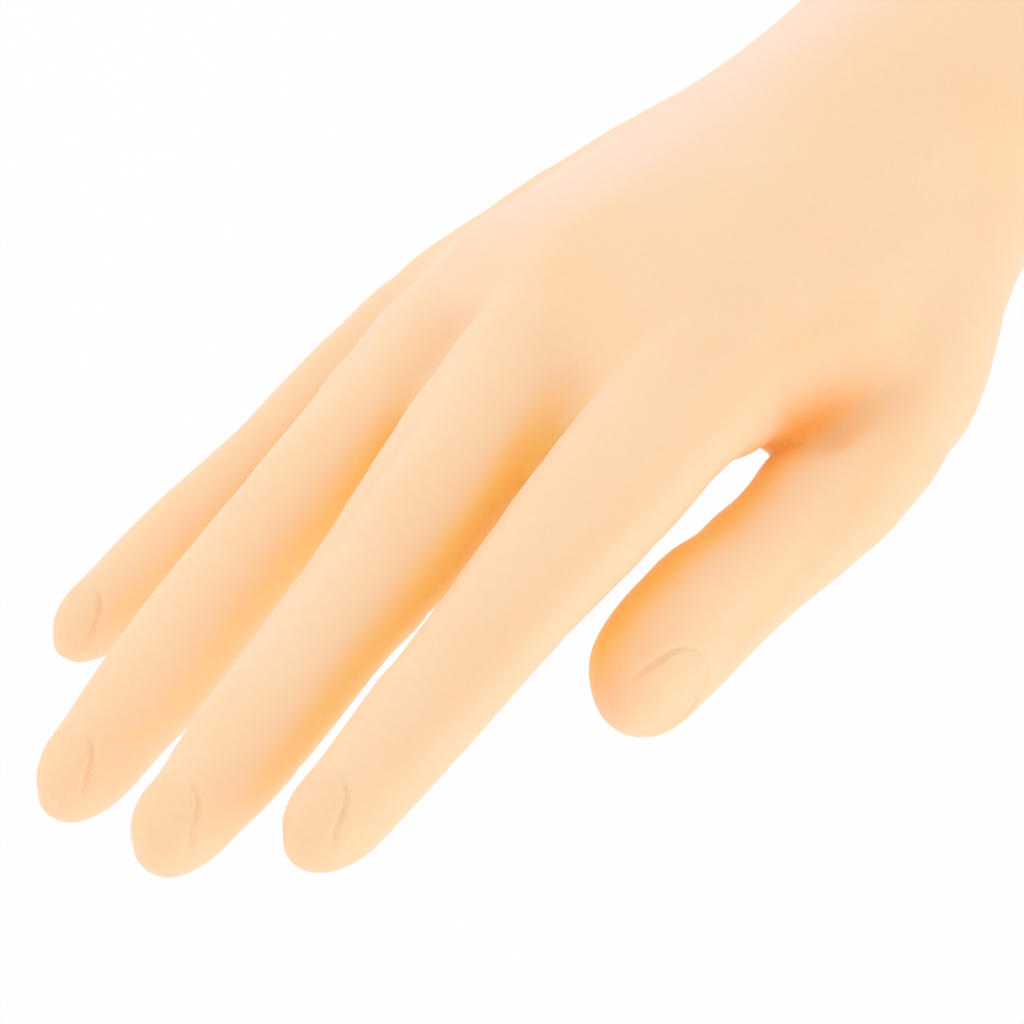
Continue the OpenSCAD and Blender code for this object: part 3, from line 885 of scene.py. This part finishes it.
class HANDSTAND_OT_skin(bpy.types.Operator):
    """Model the moulded skin of the hand over its shell"""

    bl_idname = "hand_stand.skin"
    bl_label = "Hand skin"

    def execute(self, context):
        settings = context.scene.hand_skin
        shell, hollow, low = split_shell(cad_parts["hand_shell"])
        mesh = outside_mesh(shell, settings.voxel)
        mesh.name = "hand_skin"

        surface = Surface(mesh)
        soften(surface, settings)
        shape_back(surface)
        lay_clay(surface)
        surface.even(CLAY_PASSES)
        # Painted shade for the folds, from how much of its outlook each place loses.
        mark(mesh, "fold", shut_in(surface))
        # Painted glow in the thumb's web and painted shade lines along the index finger and the thumb.
        mark(mesh, "glow", painted(surface.co, PAINTED_GLOW_AND_SHADE))
        # Painted highlight along the hand's outer edge.
        mark(mesh, "pale", painted(surface.co, PAINTED_RIM_LIGHT))
        refine(mesh, near_lines(surface), LINE_CUTS)
        refine(mesh, near_nails(Surface(mesh).co), NAIL_CUTS)

        surface = Surface(mesh)
        fine = near_nails(surface.co) | near_lines(surface)
        surface.even(FINE_PASSES, surface.spread(fine.astype(float), FINE_SPREAD))
        shape_palm(surface, settings)
        nails = shape_nails(surface, settings)
        low_corner, high_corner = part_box("hand_shell")
        surface.co = np.clip(surface.co, (low_corner.x, low_corner.y, low - SKIRT), tuple(high_corner))
        surface.write()
        mark(mesh, "nail", nails)
        close_rim(mesh, hollow, low)

        mesh.shade_smooth()
        mesh.materials.clear()
        mesh.materials.append(skin_finish(settings))
        skin = bpy.data.objects.new("hand_skin", mesh)
        context.scene.collection.objects.link(skin)
        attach(skin, "root")
        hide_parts("hand_shell")
        return {"FINISHED"}


class HANDSTAND_OT_foot(bpy.types.Operator):
    """Finish the cap, weight, screws and pad that the hand stands on"""

    bl_idname = "hand_stand.foot"
    bl_label = "Foot"

    def execute(self, context):
        settings = context.scene.hand_foot
        finishes = {
            "base_cap": cap_finish(settings),
            "base_pad": foam_finish(settings),
            "weight": iron_finish(settings),
            "weight_screws": steel_finish(settings),
        }
        for name, finish in finishes.items():
            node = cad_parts[name]
            for slot in node.material_slots:
                slot.material = finish
        return {"FINISHED"}


# Stage

FLOOR_REACH, FLOOR_SIDES = 4.0, 64
WHITE = (1.0, 1.0, 1.0, 1.0)
# The share of plain white in the floor where it is seen.
FLOOR_GLOW = 0.8
# The ways from the target to the two lamps.
KEY_FROM = Vector((0.574, -0.722, 0.336))
RIM_FROM = Vector((-0.812, 0.548, -0.066))
LAMP_DISTANCE, LAMP_SIZE = 1.0, 0.7
# Light has to bounce often in the pale folds between the fingers, or they look dull.
FOLD_BOUNCES = 12
# The camera's sensor in millimetres, and the nearest that it sees in metres.
SENSOR_WIDTH, NEAREST = 36, 0.01


def soft_lamp(name, power, target, way):
    """A square lamp that shines on the target from one way."""
    light = bpy.data.lights.new(name, "AREA")
    light.energy = power
    light.size = LAMP_SIZE
    lamp = bpy.data.objects.new(name, light)
    lamp.location = target + LAMP_DISTANCE * way.normalized()
    lamp.rotation_euler = way.to_track_quat("Z", "Y").to_euler()
    bpy.context.scene.collection.objects.link(lamp)


def seen_rays(shader):
    """1 on rays that show the floor itself: straight, mirrored or seen through."""
    paths = [shader.node("ShaderNodeLightPath", out=name)
             for name in ("Is Camera Ray", "Is Glossy Ray", "Is Transmission Ray")]
    most = paths[0].math("MAXIMUM", paths[0], paths[1])
    return most.math("MAXIMUM", most, paths[2])


def floor_finish(settings):
    """A pale floor that looks white where nothing shades it."""
    s = Shader("pale_floor")
    speckle = s.noise(scale=300.0, detail=2.0)
    pale = tuple(0.985 * c for c in settings.floor)
    s.set(Base_Color=s.mix(speckle, opaque(settings.floor), opaque(pale)), Roughness=0.9,
          Specular_IOR_Level=0.1)
    glow = s.node("ShaderNodeEmission", {}, {"Color": WHITE, "Strength": 1.0})
    shown = s.node("ShaderNodeMixShader", {}, {
        0: seen_rays(s) * FLOOR_GLOW, 1: Value(s, s.surface.outputs[0]), 2: glow})
    output = s.tree.nodes["Material Output"]
    s.tree.links.new(shown.socket, output.inputs["Surface"])
    return s.material


class HANDSTAND_OT_stage(bpy.types.Operator):
    """Set the floor, the light and the camera"""

    bl_idname = "hand_stand.stage"
    bl_label = "Stage"

    def execute(self, context):
        scene = context.scene
        settings = scene.hand_stage
        ground = bmesh.new()
        bmesh.ops.create_circle(ground, cap_ends=True, segments=FLOOR_SIDES, radius=FLOOR_REACH)
        mesh = bpy.data.meshes.new("floor")
        ground.to_mesh(mesh)
        ground.free()
        mesh.materials.append(floor_finish(settings))
        floor = bpy.data.objects.new("floor", mesh)
        scene.collection.objects.link(floor)

        world = bpy.data.worlds.new("light_tent")
        world.use_nodes = True
        sky = world.node_tree.nodes["Background"]
        sky.inputs["Color"].default_value = WHITE
        sky.inputs["Strength"].default_value = settings.sky
        scene.world = world

        target = WRIST + Vector(settings.target)
        soft_lamp("key", settings.key, target, KEY_FROM)
        soft_lamp("rim", settings.rim, target, RIM_FROM)

        a, e, roll = settings.azimuth, settings.elevation, settings.roll
        back = Vector((math.sin(a) * math.cos(e), -math.cos(a) * math.cos(e), math.sin(e)))
        upright = (Vector((0, 0, 1)) - back.z * back).normalized()
        level = upright.cross(back)
        right = math.cos(roll) * level + math.sin(roll) * upright
        up = math.cos(roll) * upright - math.sin(roll) * level
        lens = bpy.data.cameras.new("camera")
        lens.lens = settings.lens
        lens.sensor_width = SENSOR_WIDTH
        lens.clip_start = NEAREST
        camera = bpy.data.objects.new("camera", lens)
        turn = Matrix((right, up, back)).transposed().to_4x4()
        camera.matrix_world = Matrix.Translation(target + settings.distance * back) @ turn
        scene.collection.objects.link(camera)
        scene.camera = camera
        scene.cycles.diffuse_bounces = FOLD_BOUNCES
        scene.view_settings.view_transform = "Standard"
        return {"FINISHED"}


class HANDSTAND_PT_panel(bpy.types.Panel):
    """Lists the pieces of the stand"""

    bl_idname = "HANDSTAND_PT_panel"
    bl_label = "Hand Stand"
    bl_space_type = "VIEW_3D"
    bl_region_type = "UI"
    bl_category = "Hand Stand"

    def draw(self, context):
        scene = context.scene
        for operator, settings in (
            ("hand_stand.skin", scene.hand_skin),
            ("hand_stand.foot", scene.hand_foot),
            ("hand_stand.stage", scene.hand_stage),
        ):
            box = self.layout.box()
            box.operator(operator)
            for name in settings.__annotations__:
                box.prop(settings, name)


CLASSES = (
    SkinSettings, FootSettings, StageSettings,
    HANDSTAND_OT_skin, HANDSTAND_OT_foot, HANDSTAND_OT_stage, HANDSTAND_PT_panel,
)


def register():
    for cls in CLASSES:
        bpy.utils.register_class(cls)
    bpy.types.Scene.hand_skin = PointerProperty(type=SkinSettings)
    bpy.types.Scene.hand_foot = PointerProperty(type=FootSettings)
    bpy.types.Scene.hand_stage = PointerProperty(type=StageSettings)


def unregister():
    del bpy.types.Scene.hand_stage
    del bpy.types.Scene.hand_foot
    del bpy.types.Scene.hand_skin
    for cls in reversed(CLASSES):
        bpy.utils.unregister_class(cls)


def main():
    register()
    bpy.ops.hand_stand.stage()
    bpy.ops.hand_stand.skin()
    bpy.ops.hand_stand.foot()


if __name__ == "__main__":
    main()
